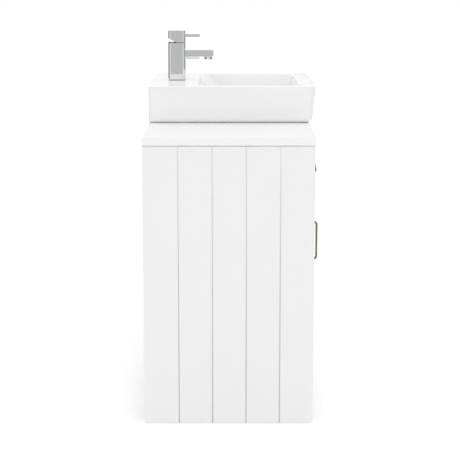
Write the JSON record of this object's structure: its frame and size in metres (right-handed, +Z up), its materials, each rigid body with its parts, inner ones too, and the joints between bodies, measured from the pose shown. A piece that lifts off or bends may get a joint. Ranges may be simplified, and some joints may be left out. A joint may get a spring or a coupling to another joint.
{
  "type": "vanity unit with cupboard",
  "caption": "Floor-standing planked vanity unit with a ledge-back basin on its worktop, square lever tap, cup-handled drawer and D-handled cupboard doors.",
  "frame": {"origin": "bottom centre of the bounding box, on the floor", "axes": "+X to the right seen from the front, +Y to the wall, doors face -Y, +Z up"},
  "size_m": [1.006, 0.4758, 1.019],
  "materials": {
    "painted_board": "satin white paint on planked board",
    "worktop_board": "satin white lacquer",
    "inner_board": "white melamine",
    "glazed_basin": "white gloss glaze",
    "chrome": "polished chrome plate",
    "aged_brass": "dark aged brass",
    "zinc_steel": "zinc plated",
    "raw_brass": "turned brass",
    "nylon": "moulded white nylon",
    "rubber": "black rubber"
  },
  "bodies": {
    "cabinet": {"side_panel_left": "painted_board", "side_panel_right": "painted_board", "back_panel": "inner_board", "back_rail": "inner_board", "base_panel": "inner_board", "deck_panel": "inner_board", "partitions": "inner_board", "plinth_board": "painted_board", "top_rail": "painted_board", "mid_rail": "painted_board", "bottom_rail": "painted_board", "frame_stiles": "painted_board", "shelves": "inner_board", "shelf_pins": "zinc_steel", "pivot_pins": "zinc_steel", "magnetic_catches": "nylon", "runner_rails": "zinc_steel", "worktop": "worktop_board", "basin": "glazed_basin", "overflow_ring": "chrome", "waste_body": "chrome", "waste_seals": "rubber", "waste_nut": "nylon", "tap_body": "chrome", "tap_seals": "rubber", "tap_shank": "raw_brass", "tap_backnut": "raw_brass", "spout": "chrome", "aerator": "chrome", "cartridge": "nylon", "cartridge_nut": "chrome"},
    "drawer": {"drawer_front": "painted_board", "drawer_sides": "inner_board", "drawer_rear": "inner_board", "drawer_base": "inner_board", "runner_slides": "zinc_steel", "cup_handle_left": "aged_brass", "cup_handle_right": "aged_brass", "cup_screws": "zinc_steel"},
    "door_left": {"door_left_frame": "painted_board", "door_left_panel": "painted_board", "door_left_handle": "aged_brass", "door_left_bushes": "nylon", "door_left_fixings": "zinc_steel"},
    "door_middle": {"door_middle_frame": "painted_board", "door_middle_panel": "painted_board", "door_middle_handle": "aged_brass", "door_middle_bushes": "nylon", "door_middle_fixings": "zinc_steel"},
    "door_right": {"door_right_frame": "painted_board", "door_right_panel": "painted_board", "door_right_handle": "aged_brass", "door_right_bushes": "nylon", "door_right_fixings": "zinc_steel"},
    "tap_swivel": {"cartridge_turret": "raw_brass"},
    "tap_lever": {"lever_stem": "zinc_steel", "lever_head": "chrome", "lever_bar": "chrome"},
    "waste_plug": {"waste_plug": "chrome"}
  },
  "joints": [
    {"name": "drawer_slide", "type": "slide", "parent": "cabinet", "child": "drawer", "axis": [0, -1, 0], "range_m": [0, 0.3]},
    {"name": "door_left_hinge", "type": "hinge", "parent": "cabinet", "child": "door_left", "pos_m": [-0.4675, -0.2031, 0.085], "axis": [0, 0, -1], "range_deg": [0, 100]},
    {"name": "door_middle_hinge", "type": "hinge", "parent": "cabinet", "child": "door_middle", "pos_m": [-0.13617, -0.2031, 0.085], "axis": [0, 0, -1], "range_deg": [0, 100]},
    {"name": "door_right_hinge", "type": "hinge", "parent": "cabinet", "child": "door_right", "pos_m": [0.4675, -0.2031, 0.085], "axis": [0, 0, 1], "range_deg": [0, 100]},
    {"name": "tap_turn", "type": "hinge", "parent": "cabinet", "child": "tap_swivel", "pos_m": [0, 0.1661, 0.982], "axis": [0, 0, 1], "range_deg": [-45, 45]},
    {"name": "tap_lift", "type": "hinge", "parent": "tap_swivel", "child": "tap_lever", "pos_m": [0, 0.1661, 0.98], "axis": [-1, 0, 0], "range_deg": [0, 25]},
    {"name": "plug_slide", "type": "slide", "parent": "cabinet", "child": "waste_plug", "axis": [0, 0, 1], "range_m": [0, 0.01]}
  ]
}
